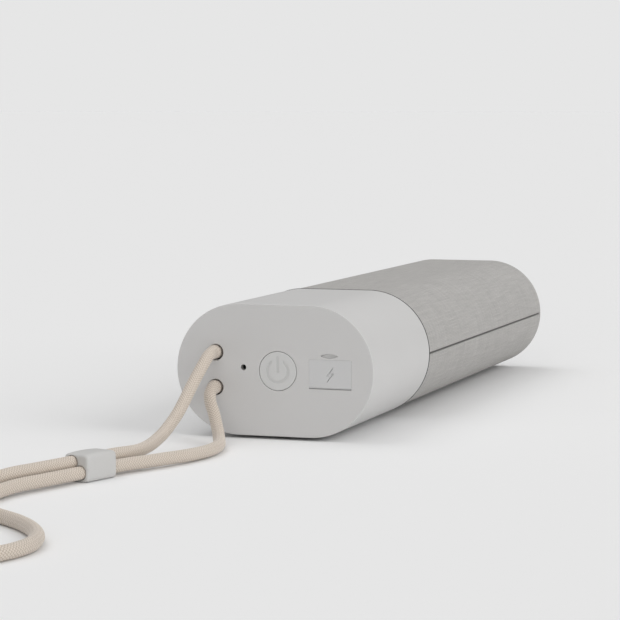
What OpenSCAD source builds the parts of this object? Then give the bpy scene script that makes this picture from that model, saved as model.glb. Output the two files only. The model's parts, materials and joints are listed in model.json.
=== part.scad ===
// Portable smart speaker with a racetrack section: a moulded control cap at one end, a fabric
// sleeve over a slotted grille, two full-range drivers, two passive radiators, a two-cell battery
// and a braided wrist strap. It lies on its flat side: X is across, Y along the body, Z up, and
// the origin is on the surface it stands on, under the middle of the body.

/* [Body] */
// Width of the body, across its flat side
body_w = 70.5; // [70:0.5:90]
// Height of the body, the diameter of its round sides
body_h = 45; // [44.5:0.5:56]
// Length of the body from the control face to the far end
body_l = 250.5; // [247:0.5:310]
// Height of the rubber feet
foot_h = 1.1; // [0.6:0.1:2]

/* [Control cap] */
// Length of the moulded control cap
cap_l = 69.5; // [56:0.5:73]
// Thickness of the cap's side wall
cap_wall = 2.2; // [1.6:0.1:2.6]
// Thickness of the control face
face_t = 2.6; // [2.4:0.1:3.2]
// Width of the dark groove between the cap and the fabric
seam_gap = 0.4; // [0.2:0.1:1]
// Depth of the groove between the cap and the fabric
seam_depth = 1.2; // [0.8:0.1:1.6]

/* [Power button] */
// Diameter of the power button
button_d = 13.1; // [11:0.1:15]
// Gap around the power button
button_gap = 0.2; // [0.15:0.05:0.4]
// Travel of the power button
button_travel = 0.4; // [0.2:0.1:0.5]
// Diameter of the microphone hole
mic_hole_d = 2; // [1:0.1:3]

/* [Charging port] */
// Width of the port flap
flap_w = 14.7; // [12.5:0.1:16]
// Height of the port flap
flap_h = 9.7; // [8.5:0.1:11]
// Thickness of the port flap
flap_t = 1.5; // [1.3:0.1:1.6]
// Gap around the port flap
flap_gap = 0.15; // [0.1:0.05:0.3]
// Diameter of the flap's hinge pin
flap_pin_d = 1; // [0.8:0.1:1.2]
// Radial clearance of pins and plungers in their bores
running_gap = 0.05; // [0.01:0.01:0.1]

/* [Fabric and grille] */
// How far the fabric lies below the cap's surface
fabric_inset = 0.25; // [0.1:0.05:0.6]
// Thickness of the woven fabric
fabric_t = 0.8; // [0.5:0.1:1.2]
// Thickness of the slotted grille under the fabric
grille_t = 1.4; // [1:0.1:2]
// Length of a grille slot
slot_l = 9; // [6:0.5:11]
// Height of a grille slot
slot_h = 2; // [1.2:0.1:2.6]

/* [Drivers] */
// Outer diameter of a driver's mounting flange
driver_d = 34; // [28:0.5:34.5]
// How far a driver's cone travels each way
cone_travel = 2; // [1:0.5:2]
// How far a passive radiator travels each way
radiator_travel = 2.5; // [1:0.5:2.5]

/* [Battery] */
// Diameter of a wrapped cell
cell_d = 18.4; // [18:0.1:18.6]
// Length of a cell
cell_l = 65; // [50:0.5:68]

/* [Strap] */
// Diameter of the braided strap
strap_d = 4.2; // [3:0.1:4.2]
// Diameter of the strap holes in the control face
strap_hole_d = 5.4; // [5.3:0.1:6]
// Length of the strap's slider
slider_l = 14; // [10:0.5:16]

/* [Hidden] */
$fn = 64;

eps = 0.01;

// Main planes
mid_z = foot_h + body_h / 2;
face_y = -body_l / 2;
far_y = body_l / 2;
face_in_y = face_y + face_t;
seam_y = face_y + cap_l;
body_y = seam_y + seam_gap;

// Control face layout, X and height above the middle
button_at = [1.3, -0.15];
mic_at = [-11.1, 0.75];
flap_at = [19.95, -0.8];
notch_at = [19.5, 5.5];
strap_holes = [[-21.2, 5.6], [-21.2, -6.4]];
strap_ends = [[-21.6, 5.7], [-21.6, -6.4]];
clamp_posts = [[-21.2, 12], [-21.2, -12.8]];

// Control face details
mark_depth = 0.3;
mark_line = 0.85;
mark_d = 8.2;
notch_w = 6.1;
notch_h = 1.6;
notch_depth = 0.8;
button_flange_d = button_d + 2.1;
button_flange_t = 0.8;
stem_d = 4;

// Control board and what stands on it
board_t = 1.6;
board_y = face_in_y + 8.6;
switch_size = 6;
switch_h = 3.5;
plunger_d = 3.2;
plunger_out = 1.7;
plunger_in = 1.4;
guide_y = face_in_y + button_flange_t + button_travel + 1.5;
guide_t = 1.4;
guide_d = button_flange_d + 4;
mic_h = 1;
board_posts = [[-9, 12.5], [11, 14], [-9, -12.5], [11, -14]];
board_edge_x = -12;
board_post_d = 5;
m2_d = 2;

// Aerial under the flat part of the cap's top
antenna_w = body_w - body_h - 3.5;

// Plate that holds the strap's crimped ends
clamp_y = face_in_y + 6;
clamp_t = 1.8;
crimp_l = 4.65;

// USB-C receptacle and the recess that the flap closes
usb_w = 9;
usb_h = 3.3;
usb_mouth_w = 8.34;
usb_mouth_h = 2.56;
port_w = 10.2;
port_h = 4.6;
flap_recess_t = flap_t + 0.3;
hinge_r = 1;
hinge_at = [flap_at.x, face_y + hinge_r, mid_z + flap_at.y - flap_h / 2 + hinge_r];
pin_seat = 1;

// Layers of the body, from the outside in
fabric_w = body_w - 2 * fabric_inset;
fabric_h = body_h - 2 * fabric_inset;
grille_w = fabric_w - 2 * fabric_t;
grille_h = fabric_h - 2 * fabric_t;
shell_gap = 0.2;
shell_w = grille_w - 2 * (grille_t + shell_gap);
shell_h = grille_h - 2 * (grille_t + shell_gap);
shell_wall = 2;
baffle_t = 2.5;
shell_end_y = far_y - 4.3;

// Driver and radiator places along the body
unit_y = [body_y + 25.4, far_y - 33.2];
driver_r = driver_d / 2;
flange_t = 1.5;
rim_u = 1.1;
can_r = driver_r - 2.8;
can_wall = 0.8;
cone_r = can_r - 2.6;
coil_r = 7.3;
coil_u1 = 11;
gap_r = 7.6;
pole_r = 6.4;
magnet_r = 10;
spider_u = 4.5 + cone_travel;
magnet_u = 8;
magnet_l = 9;

// Enclosure screws
post_y = [body_y + 6.4, unit_y[0] + 20, unit_y[1] - 18, shell_end_y - 7];
post_d = 6;
post_gap = 0.03;
m25_d = 2.5;
m25_head_d = 4.6;
m25_head_t = 1.8;

// Battery cradle and main board
cell_y = post_y[1] + 8;
cell_z = -3.6;
cell_gap = 0.05;
cell_x = cell_d / 2 + cell_gap;
tab_t = 0.3;
cheek_t = 4;
cheek_top = 9;
cradle_floor = 2;
cradle_w = 2 * cell_x + cell_d;
rib_x = (body_w - body_h) / 2 - 4.75;
baffle_x = cradle_w / 2 + cell_gap + baffle_t;
cradle_z = cell_z - cell_d / 2 - 0.3 - cradle_floor;
cradle_y0 = cell_y - tab_t - cheek_t;
cradle_y1 = cell_y + cell_l + tab_t + cheek_t;
main_w = 32;

// The posts' far ends just stay inside the round of the loudspeaker box
post_x1 = baffle_x - 1;
post_reach = post_x1 - (shell_w - shell_h) / 2;
post_z = sqrt(shell_h * shell_h / 4 - post_reach * post_reach) - post_d / 2 - post_gap;

// Ribbon cable between the two boards
ribbon_w = 8;
ribbon_t = 0.3;
ribbon_z = cheek_top + board_t + 0.5;

// Where the first lead of each driver leaves the main board
lead_x = -10.2;

// Cap screws through lugs of the bulkhead, hidden by the front foot
rim_l = 7.2;
rim_wall = 2;
rim_gap = 0.15;
gasket_l = 1.2;
lug_l = 9;
lug_w = 8;
lug_x = 6.5;
lug_y = seam_y - rim_l - lug_l / 2;
bulk_t = 2;

// Feet
foot_w = 21;
foot_l = 60;

// Strap slider: two bores side by side on a slant, which lift the strands off the surface
slider_at = [-24.55, -224.35];
slider_turn = 15.945;
slider_w = 9.4;
slider_h = 8.8;
slider_bore_x = 1.615;
slider_bore_z = [2.9, 5.9];
slider_gap = 0.1;

// Route of the strap: out of the upper hole, through the slider, round the wrist loop, back
// through the slider and into the lower hole
strap_sides = 10;
strap_route = [
    [-21.6, -118, 29.3], [-21.6, -122, 29.3], [-21.6, -126, 29.3], [-21.4, -130, 29],
    [-21.2, -133.5, 28], [-21.1, -137.5, 26.1], [-21.3, -142, 23.3], [-21.6, -147, 19.9],
    [-21.7, -152.5, 16.2], [-21.9, -158.5, 12.4], [-22.2, -164.5, 9.4], [-22.1, -171, 7.3],
    [-21.6, -178.5, 6], [-20.9, -186.5, 5.3], [-20.6, -194.5, 5.1], [-21.1, -202, 5.4],
    [-22.2, -209, 5.8], [-23.7, -215.5, 5.9], [-26.7, -226, 5.9], [-29.7, -236.5, 5.9],
    [-32.7, -247, 5.9], [-35.7, -257.5, 5.9], [-38.7, -267, 5], [-42.4, -276.5, 3.8],
    [-46.6, -286, 2.8], [-50.6, -295.5, 2.3], [-54.4, -305.5, 2.1], [-57.6, -316, 2.1],
    [-59.6, -327, 2.1], [-59.6, -338, 2.1], [-57, -348.5, 2.1], [-51.6, -357.5, 2.1],
    [-43.8, -364.5, 2.1], [-34, -369, 2.1], [-23.4, -370.6, 2.1], [-13, -369.2, 2.1],
    [-3.6, -365, 2.1], [4.2, -358.5, 2.1], [8, -350.7, 2.1], [9.2, -341, 2.1],
    [7.2, -332, 2.1], [3.5, -324.3, 2.1], [-1.5, -317.3, 2.1], [-7.2, -311.2, 2.1],
    [-12.1, -307.1, 2.1], [-19, -301.8, 2.1], [-25.4, -295.3, 2.1], [-30.6, -287.4, 2.1],
    [-33.6, -277.6, 2.2], [-34, -268, 2.6], [-32.6, -258.4, 2.9], [-29.6, -247.9, 2.9],
    [-26.6, -237.4, 2.9], [-23.6, -226.9, 2.9], [-20.6, -216.4, 2.9], [-17.9, -209, 2.9],
    [-14.9, -202, 2.8], [-11.8, -194, 2.7], [-8.8, -185, 2.5], [-6.8, -175, 2.3],
    [-6.6, -166, 2.2], [-8.2, -157, 2.1], [-10.8, -149.6, 2.5], [-13.2, -144, 3.9],
    [-15.4, -140, 6.6], [-17.5, -137, 10], [-19.6, -134.4, 13], [-21, -131.2, 15.4],
    [-21.5, -127.6, 16.9], [-21.6, -124.5, 17.2], [-21.6, -121.5, 17.2], [-21.6, -118, 17.2]];

// A racetrack outline with full-round sides
module racetrack(w, h) {
    square([w - h, h], center = true);
    for (side = [-1, 1])
        translate([side * (w - h) / 2, 0]) circle(d = h, $fn = 96);
}

// A rounded rectangle from squares and circles
module soft_square(w, h, r) {
    square([w - 2 * r, h], center = true);
    square([w, h - 2 * r], center = true);
    for (sx = [-1, 1], sy = [-1, 1])
        translate([sx * (w / 2 - r), sy * (h / 2 - r)]) circle(r = r);
}

// A section in X and height above the middle, drawn from y0 to y1
module slab(y0, y1) {
    translate([0, y1, mid_z]) rotate([90, 0, 0]) linear_extrude(y1 - y0) children();
}

// A round bar along Y, at a place given in X and height above the middle
module bar_y(at, y0, y1, d) {
    slab(y0, y1) translate(at) circle(d = d);
}

// A racetrack tube along Y
module sleeve(y0, y1, w, h, wall) {
    slab(y0, y1) difference() {
        racetrack(w, h);
        racetrack(w - 2 * wall, h - 2 * wall);
    }
}

// A round bar along X
module bar_x(x0, x1, y, z, d) {
    translate([x0, y, mid_z + z]) rotate([0, 90, 0]) cylinder(d = d, h = x1 - x0);
}

// A block from its lowest corner, height above the middle, and its size
module block(at, size) {
    translate([at.x, at.y, mid_z + at.z]) cube(size);
}

// Turned shapes whose axis is along X: children are drawn as radius and depth
module turned(y, side) {
    translate([side * (baffle_x + flange_t), y, mid_z]) rotate([0, -side * 90, 0])
        rotate_extrude($fn = 96) children();
}

// A rectangle in radius and depth
module wall_rect(r0, r1, u0, u1) {
    translate([r0, u0]) square([r1 - r0, u1 - u0]);
}

function unit(v) = v / norm(v);

// A tube along a route, one ring of corners at each point
module tube(path, d, sides) {
    last = len(path) - 1;
    heading = [for (i = [0:last]) unit(path[min(i + 1, last)] - path[max(i - 1, 0)])];
    corners = [for (i = [0:last])
        let (across = unit(cross(heading[i], [0, 0, 1])), over = cross(across, heading[i]))
        for (k = [0:sides - 1])
            path[i] + d / 2 * (cos(360 * k / sides) * across + sin(360 * k / sides) * over)];
    sides_faces = [for (i = [0:last - 1], k = [0:sides - 1], half = [0, 1])
        let (a = i * sides + k, b = i * sides + (k + 1) % sides)
        half == 0 ? [a, b, b + sides] : [a, b + sides, a + sides]];
    first_end = [for (k = [sides - 1:-1:0]) k];
    last_end = [for (k = [0:sides - 1]) last * sides + k];
    polyhedron(corners, concat([first_end], sides_faces, [last_end]));
}

// The power mark: an open ring with a bar
module power_mark() {
    difference() {
        circle(d = mark_d);
        circle(d = mark_d - 2 * mark_line);
        translate([-mark_d / 4, 0]) square([mark_d / 2, mark_d]);
    }
    translate([-mark_line / 2, -mark_line / 2]) square([mark_line, 0.65 * mark_d]);
}

// The charging mark: a slanted bolt
module charge_mark() {
    polygon([[1.2, 2.7], [-1.4, -0.5], [-0.1, -0.5], [-1.2, -2.7], [1.4, 0.5], [0.1, 0.5]]);
}

module control_cap() {
    color("#c4c3c1") difference() {
        union() {
            slab(face_y, face_in_y) racetrack(body_w, body_h);
            sleeve(face_in_y - eps, seam_y, body_w, body_h, cap_wall);
            for (at = board_posts)
                bar_y(at, face_in_y - eps, board_y, board_post_d);
            for (at = clamp_posts)
                bar_y(at, face_in_y - eps, clamp_y, board_post_d);
        }
        bar_y(button_at, face_y - 1, face_in_y + 1, button_d + 2 * button_gap);
        bar_y(mic_at, face_y - 1, face_in_y + 1, mic_hole_d);
        for (at = strap_holes)
            bar_y(at, face_y - 1, face_in_y + 1, strap_hole_d);
        slab(face_y - 1, face_y + flap_recess_t) translate(flap_at)
            square([flap_w + 2 * flap_gap, flap_h + 2 * flap_gap], center = true);
        slab(face_y - 1, face_in_y + 1) translate(flap_at) racetrack(port_w, port_h);
        translate([hinge_at.x - flap_w / 2 - flap_gap, hinge_at.y, hinge_at.z])
            rotate([0, 90, 0]) cylinder(r = hinge_r + flap_gap, h = flap_w + 2 * flap_gap);
        translate([hinge_at.x - flap_w / 2 - flap_gap - pin_seat, hinge_at.y, hinge_at.z])
            rotate([0, 90, 0]) cylinder(d = flap_pin_d, h = flap_w + 2 * (flap_gap + pin_seat));
        slab(face_y - 1, face_y + notch_depth) translate(notch_at) notch_lens();
        for (at = board_posts)
            bar_y(at, board_y - 6, board_y + 1, m2_d);
        for (at = clamp_posts)
            bar_y(at, clamp_y - 3.5, clamp_y + 1, m2_d);
        for (side = [-1, 1])
            translate([side * lug_x, lug_y, foot_h - 1]) cylinder(d = m25_d, h = 2 + cap_wall);
        for (side = [-1, 1])
            translate([side * lug_x, lug_y, foot_h - 1]) cylinder(d = m25_head_d, h = 2.2);
    }
}

// Two arcs that meet in points: the dip for a fingernail
module notch_lens() {
    r = (notch_w * notch_w / 4 + notch_h * notch_h / 4) / notch_h;
    intersection() {
        translate([0, r - notch_h / 2]) circle(r = r);
        translate([0, notch_h / 2 - r]) circle(r = r);
    }
}

module power_button() {
    color("#c8c8c8") difference() {
        union() {
            bar_y(button_at, face_y, face_in_y + button_flange_t, button_d);
            bar_y(button_at, face_in_y + running_gap, face_in_y + button_flange_t,
                  button_flange_d);
            bar_y(button_at, face_in_y, board_y - switch_h - plunger_out, stem_d);
        }
        slab(face_y - 1, face_y + mark_depth) translate(button_at) power_mark();
    }
}

module button_guide() {
    color("#8d8d8d") difference() {
        union() {
            bar_y(button_at, guide_y, guide_y + guide_t, guide_d);
            bar_y(button_at, face_in_y, guide_y + guide_t, guide_d);
        }
        bar_y(button_at, face_in_y - 1, guide_y, button_flange_d + 1);
        bar_y(button_at, guide_y - 1, guide_y + guide_t + 1, stem_d + 2 * running_gap);
    }
}

module switch_body() {
    color("#303030") difference() {
        slab(board_y - switch_h, board_y) translate(button_at)
            square(switch_size, center = true);
        bar_y(button_at, board_y - switch_h - 1,
              board_y - switch_h + plunger_in + button_travel + 0.4, plunger_d + 2 * running_gap);
    }
}

module switch_plunger() {
    color("#b08d57")
        bar_y(button_at, board_y - switch_h - plunger_out, board_y - switch_h + plunger_in, plunger_d);
}

module port_flap() {
    color("#c6c6c8") difference() {
        union() {
            slab(face_y, face_y + flap_t) translate([flap_at.x, flap_at.y + hinge_r / 2])
                square([flap_w, flap_h - hinge_r], center = true);
            translate([hinge_at.x - flap_w / 2, hinge_at.y, hinge_at.z]) rotate([0, 90, 0])
                cylinder(r = hinge_r, h = flap_w);
            slab(face_y + flap_t - eps, face_y + flap_t + 1) translate(flap_at)
                racetrack(port_w - 1.2, usb_h - 0.4);
        }
        translate([hinge_at.x - flap_w / 2 - 1, hinge_at.y, hinge_at.z]) rotate([0, 90, 0])
            cylinder(d = flap_pin_d + 2 * running_gap, h = flap_w + 2);
        slab(face_y - 1, face_y + mark_depth) translate(flap_at) charge_mark();
    }
}

module flap_pin() {
    color("#b9bcc0")
        translate([hinge_at.x - flap_w / 2 - flap_gap - pin_seat, hinge_at.y, hinge_at.z])
            rotate([0, 90, 0]) cylinder(d = flap_pin_d, h = flap_w + 2 * (flap_gap + pin_seat));
}

module usb_receptacle() {
    color("#b9bcc0") {
        difference() {
            slab(face_in_y + 0.2, board_y) translate(flap_at) racetrack(usb_w, usb_h);
            slab(face_in_y - 1, board_y - 1.2) translate(flap_at)
                racetrack(usb_mouth_w, usb_mouth_h);
        }
        slab(face_in_y + 1, board_y - 1.2 + eps) translate(flap_at) square([6.7, 0.7], center = true);
    }
}

module microphone() {
    color("#c9b26a") difference() {
        slab(board_y - mic_h, board_y) translate(mic_at) square([3.5, 2.65], center = true);
        bar_y(mic_at, board_y - mic_h - 1, board_y - mic_h / 2, 0.8);
    }
}

module mic_gasket() {
    color("#2b2b2b") difference() {
        bar_y(mic_at, face_in_y, board_y - mic_h, 5);
        bar_y(mic_at, face_in_y - 1, board_y, mic_hole_d);
    }
}

module control_board() {
    color("#1f6b45") difference() {
        slab(board_y, board_y + board_t) intersection() {
            racetrack(body_w - 2 * cap_wall - 1, body_h - 2 * cap_wall - 1);
            translate([board_edge_x, -body_h / 2]) square([body_w, body_h]);
        }
        for (at = board_posts)
            bar_y(at, board_y - 1, board_y + board_t + 1, m2_d + 0.2);
    }
    color("#e8e4d8") slab(board_y + board_t - eps, board_y + board_t + 2.2)
        translate([0, ribbon_z]) square([ribbon_w + 3, 3], center = true);
}

module control_board_screws() {
    color("#9a9da1") for (at = board_posts) {
        bar_y(at, board_y - 5, board_y + board_t + eps, m2_d - 0.1);
        bar_y(at, board_y + board_t, board_y + board_t + 1.3, 3.8);
    }
}

// A flexible aerial on the inside of the cap's flat top, where plastic lets radio through
module antenna() {
    color("#b5713a")
        block([-antenna_w / 2, face_y + 24, body_h / 2 - cap_wall - 0.3], [antenna_w, 26, 0.3]);
}

module strap() {
    color("#ccc0b4") tube(strap_route, strap_d, strap_sides);
}

// Brass crimps on the strap's two ends, wider than the holes they pull against
module strap_ferrules() {
    color("#b08d57") for (at = strap_ends) difference() {
        bar_y(at, face_in_y, clamp_y, strap_hole_d + 1.8);
        bar_y(at, face_in_y - 1, face_in_y + crimp_l, strap_d);
    }
}

module strap_clamp() {
    color("#8d8d8d") difference() {
        slab(clamp_y, clamp_y + clamp_t) translate((clamp_posts[0] + clamp_posts[1]) / 2)
            soft_square(10, 29, 2.5);
        for (at = clamp_posts)
            bar_y(at, clamp_y - 1, clamp_y + 3, m2_d - 0.1);
    }
    color("#9a9da1") for (at = clamp_posts) {
        bar_y(at, clamp_y - 3, clamp_y + clamp_t + eps, m2_d - 0.1);
        bar_y(at, clamp_y + clamp_t, clamp_y + clamp_t + 1.2, 3.8);
    }
}

module strap_slider() {
    color("#c4c4c2")
        translate([slider_at.x, slider_at.y, 0]) rotate([0, 0, -slider_turn])
            translate([0, slider_l / 2, 0]) rotate([90, 0, 0]) linear_extrude(slider_l)
                difference() {
                    translate([0, slider_h / 2]) soft_square(slider_w, slider_h, 1.6);
                    translate([slider_bore_x, slider_bore_z[0]])
                        circle(d = strap_d + 2 * slider_gap);
                    translate([-slider_bore_x, slider_bore_z[1]])
                        circle(d = strap_d + 2 * slider_gap);
                }
}

// Plate between the cap and the loudspeaker box, with a rim that plugs into the cap
module bulkhead() {
    rim_w = body_w - 2 * (cap_wall + rim_gap);
    rim_h = body_h - 2 * (cap_wall + rim_gap);
    color("#3a3a3c") difference() {
        union() {
            slab(seam_y, body_y)
                racetrack(body_w - 2 * seam_depth, body_h - 2 * seam_depth);
            slab(seam_y - bulk_t, seam_y + eps) racetrack(rim_w, rim_h);
            sleeve(seam_y - rim_l, seam_y, rim_w, rim_h, rim_wall);
            for (side = [-1, 1])
                block([side * lug_x - lug_w / 2, seam_y - rim_l - lug_l, -rim_h / 2],
                      [lug_w, lug_l + 1, 4]);
        }
        slab(seam_y - rim_l / 2 - gasket_l / 2, seam_y - rim_l / 2 + gasket_l / 2)
            difference() {
                racetrack(body_w, body_h);
                racetrack(rim_w - 1.6, rim_h - 1.6);
            }
        for (side = [-1, 1])
            translate([side * lug_x, lug_y, foot_h]) cylinder(d = m25_d, h = cap_wall + 3.6);
        slab(seam_y - bulk_t - 1, body_y + 1) translate([0, ribbon_z]) grommet_outline(0);
    }
}

// Slot for the ribbon cable and its soft grommet
module grommet_outline(wall) {
    racetrack(ribbon_w + 4 + 2 * wall, 3.2 + 2 * wall);
}

module cap_gasket() {
    gap = rim_gap + 0.8;
    color("#1c1c1c")
        sleeve(seam_y - rim_l / 2 - gasket_l / 2, seam_y - rim_l / 2 + gasket_l / 2,
               body_w - 2 * cap_wall, body_h - 2 * cap_wall, gap);
}

module cable_grommet() {
    color("#1c1c1c") slab(seam_y - bulk_t, body_y + shell_wall) difference() {
        translate([0, ribbon_z]) grommet_outline(0);
        translate([0, ribbon_z]) square([ribbon_w, ribbon_t], center = true);
    }
}

module cap_screws() {
    color("#9a9da1") for (side = [-1, 1])
        translate([side * lug_x, lug_y, foot_h]) {
            cylinder(d = m25_d, h = 5);
            cylinder(d = m25_head_d, h = 1.2);
        }
}

// The loudspeaker box's section: a racetrack cut flat at both sides
module shell_section(inset) {
    flat = 2 * (baffle_x - (inset > 0 ? baffle_t : 0));
    intersection() {
        racetrack(shell_w - 2 * inset, shell_h - 2 * inset);
        square([flat, shell_h], center = true);
    }
}

// Half of the loudspeaker box, front at side -1 and rear at side 1
module half_shell(side) {
    difference() {
        intersection() {
            union() {
                difference() {
                    slab(body_y, shell_end_y) shell_section(0);
                    slab(body_y + shell_wall, shell_end_y - shell_wall)
                        shell_section(shell_wall);
                }
                for (y = post_y, z = [-post_z, post_z])
                    bar_x(side < 0 ? -8 : 0, side < 0 ? 0 : post_x1, y, z, post_d);
            }
            slab(body_y - 1, shell_end_y + 1) translate([side * body_w / 2, 0])
                square([body_w, body_h], center = true);
        }
        for (y = unit_y)
            bar_x(side * (baffle_x - 2) - 4, side * (baffle_x - 2) + 4, y, 0,
                  2 * (can_r + 0.2));
        for (y = post_y, z = [-post_z, post_z])
            bar_x(-6, baffle_x + 1, y, z, m25_d);
        for (y = post_y, z = [-post_z, post_z])
            bar_x(baffle_x - m25_head_t, baffle_x + 1, y, z, m25_head_d);
        slab(body_y - 1, body_y + shell_wall + 1) translate([0, ribbon_z]) grommet_outline(0);
    }
}

module enclosure_front() {
    color("#4a4b4e") half_shell(-1);
}

module enclosure_rear() {
    color("#55565a") half_shell(1);
}

module enclosure_screws() {
    color("#9a9da1") for (y = post_y, z = [-post_z, post_z]) {
        bar_x(-6, baffle_x - 0.5, y, z, m25_d);
        bar_x(baffle_x - m25_head_t, baffle_x, y, z, m25_head_d);
    }
}

// Slots across the front and the rear, in columns and rows
module grille() {
    span = shell_end_y - body_y - 12;
    columns = floor(span / (slot_l + 4.5));
    pitch = span / columns;
    color("#5c5c5e") difference() {
        sleeve(body_y, far_y - 3.2, grille_w, grille_h, grille_t);
        for (c = [0:columns - 1], row = [-2:2], side = [-1, 1])
            block([side < 0 ? -grille_w / 2 - 1 : baffle_x,
                   body_y + 6 + pitch * (c + 0.5) - slot_l / 2, row * 5.2 - slot_h / 2],
                  [grille_w / 2 + 1 - baffle_x, slot_l, slot_h]);
    }
}

// Fabric: a tube whose far end turns in over the end cap, with its seam along the rear
module fabric_sleeve() {
    color("#aeaba8") difference() {
        union() {
            sleeve(body_y, far_y, fabric_w, fabric_h, fabric_t);
            sleeve(far_y - fabric_t, far_y, fabric_w - 1, fabric_h - 1, 2.7);
        }
        block([fabric_w / 2 - 0.3, body_y - 1, -0.2], [1, body_l, 0.4]);
    }
}

module end_cap() {
    color("#bdbcba") {
        slab(far_y - 3.1, far_y - fabric_t - 0.05) racetrack(grille_w - 0.2, grille_h - 0.2);
        slab(far_y - fabric_t - 0.1, far_y - 0.35)
            racetrack(fabric_w - 6.6, fabric_h - 6.6);
        slab(shell_end_y, far_y - 3)
            racetrack(shell_w - 2 * shell_wall - 14, shell_h - 2 * shell_wall - 14);
    }
}

// A foot: a rubber pad with round ends
module foot(y0, top) {
    translate([0, y0 + foot_l / 2, 0]) rotate([0, 0, 90]) linear_extrude(top)
        racetrack(foot_l, foot_w);
}

module foot_front() {
    color("#2f2f30") foot(seam_y - foot_l - 4, foot_h);
}

module foot_rear() {
    color("#2f2f30") foot(far_y - foot_l - 6, foot_h + fabric_inset);
}

module driver_basket(y) {
    color("#3c3d40") difference() {
        union() {
            turned(y, -1) wall_rect(can_r, driver_r, 0, flange_t);
            turned(y, -1) wall_rect(can_r - can_wall, can_r + eps, rim_u, magnet_u + 1.2);
            turned(y, -1) wall_rect(magnet_r, can_r, magnet_u, magnet_u + 1.2);
        }
        for (a = [45:90:315])
            translate([-baffle_x + 4.5, y, mid_z]) rotate([a, 0, 0])
                translate([0, -4, magnet_r + 1]) cube([2.5, 8, can_r]);
    }
}

module driver_magnet(y) {
    color("#6d6f73") turned(y, -1) difference() {
        wall_rect(0, magnet_r, magnet_u, magnet_u + magnet_l);
        wall_rect(pole_r, gap_r, magnet_u - 1, coil_u1 + cone_travel + 1);
    }
}

// Corrugated centring disc between the voice coil and the basket
module driver_spider(y) {
    color("#c08a3e") turned(y, -1) {
        wall_rect(coil_r + 0.4, can_r - can_wall, spider_u, spider_u + 0.4);
        for (r = [coil_r + 1, can_r - can_wall - 1.2])
            wall_rect(r, r + 0.5, spider_u, spider_u + 0.8);
    }
}

// Half-roll rubber edge, from the cone to the basket
module driver_surround(y) {
    roll = (can_r - cone_r - 0.7) / 2;
    color("#232323") turned(y, -1) roll_section(cone_r + 0.1, roll, rim_u);
}

// A half ring with a flat lip on its outer side
module roll_section(r0, roll, u) {
    difference() {
        translate([r0 + roll, u]) circle(r = roll, $fn = 48);
        translate([r0 + roll, u]) circle(r = roll - 0.5, $fn = 48);
        translate([r0 - 1, u]) square([2 * roll + 2, roll + 1]);
    }
    translate([r0 + 2 * roll - 0.5, u - 0.5]) square([0.9, 0.5]);
}

// Paper cone with its dust cap, glued to the coil
module driver_cone(y) {
    color("#2c2c2e") turned(y, -1) {
        polygon([[coil_r - 0.7, 3.9], [cone_r - 0.4, 0.6], [cone_r, 0.6], [cone_r, 1.1],
                 [cone_r - 0.2, 1.1], [coil_r - 0.2, 4.5], [coil_r - 0.7, 4.5]]);
        polygon([[0, 1.8], [coil_r - 4, 2.1], [coil_r - 2, 2.9], [coil_r - 0.5, 4],
                 [coil_r - 0.7, 4.5], [coil_r - 2.2, 3.4], [coil_r - 4.1, 2.6], [0, 2.3]]);
    }
}

module driver_coil(y) {
    color("#b5713a") turned(y, -1) wall_rect(coil_r - 0.6, coil_r, 4.5, coil_u1);
}

module radiator_frame(y) {
    color("#3c3d40") turned(y, 1) {
        wall_rect(can_r, driver_r, 0, flange_t);
        wall_rect(can_r - can_wall, can_r + eps, rim_u, flange_t + radiator_travel);
    }
}

module radiator_surround(y) {
    color("#232323") turned(y, 1) roll_section(can_r - 4.3, 1.8, rim_u);
}

// Weighted plate that the box's air drives
module radiator_plate(y) {
    color("#8f9195") turned(y, 1) {
        wall_rect(0, can_r - 4.4, 0.6, 2.2);
        wall_rect(0, 6, 2.1, 4.2);
    }
}

module battery_cells() {
    color("#2d6ea3") for (side = [-1, 1])
        bar_y([side * cell_x, cell_z], cell_y, cell_y + cell_l, cell_d);
}

module cell_tabs() {
    color("#b9bcc0") for (y = [cell_y - tab_t, cell_y + cell_l])
        slab(y, y + tab_t) translate([0, cell_z]) soft_square(2 * cell_x + 8, 7, 2);
}

module battery_cradle() {
    color("#2f2f30") difference() {
        union() {
            for (y = [cradle_y0, cradle_y1 - cheek_t])
                block([-cradle_w / 2, y, cradle_z], [cradle_w, cheek_t, cheek_top - cradle_z]);
            block([-cradle_w / 2, cradle_y0, cradle_z],
                  [cradle_w, cradle_y1 - cradle_y0, cradle_floor]);
            for (side = [-1, 1])
                block([side * rib_x - 1.5, cradle_y0, -shell_h / 2 + shell_wall],
                      [3, cradle_y1 - cradle_y0, cradle_z + shell_h / 2 - shell_wall + eps]);
        }
        for (y = [cradle_y0 + cheek_t / 2, cradle_y1 - cheek_t / 2], side = [-1, 1])
            translate([side * (main_w / 2 - 3), y, mid_z + cheek_top - 5])
                cylinder(d = m2_d, h = 6);
    }
}

module main_board() {
    color("#1f6b45") difference() {
        block([-main_w / 2, cradle_y0, cheek_top], [main_w, cradle_y1 - cradle_y0, board_t]);
        for (y = [cradle_y0 + cheek_t / 2, cradle_y1 - cheek_t / 2], side = [-1, 1])
            translate([side * (main_w / 2 - 3), y, mid_z + cheek_top - 1])
                cylinder(d = m2_d + 0.2, h = 4);
    }
}

module main_board_screws() {
    color("#9a9da1")
        for (y = [cradle_y0 + cheek_t / 2, cradle_y1 - cheek_t / 2], side = [-1, 1])
            translate([side * (main_w / 2 - 3), y, mid_z + cheek_top]) {
                translate([0, 0, -4]) cylinder(d = m2_d - 0.1, h = 4 + board_t + eps);
                translate([0, 0, board_t]) cylinder(d = 3.8, h = 1.3);
            }
}

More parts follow.
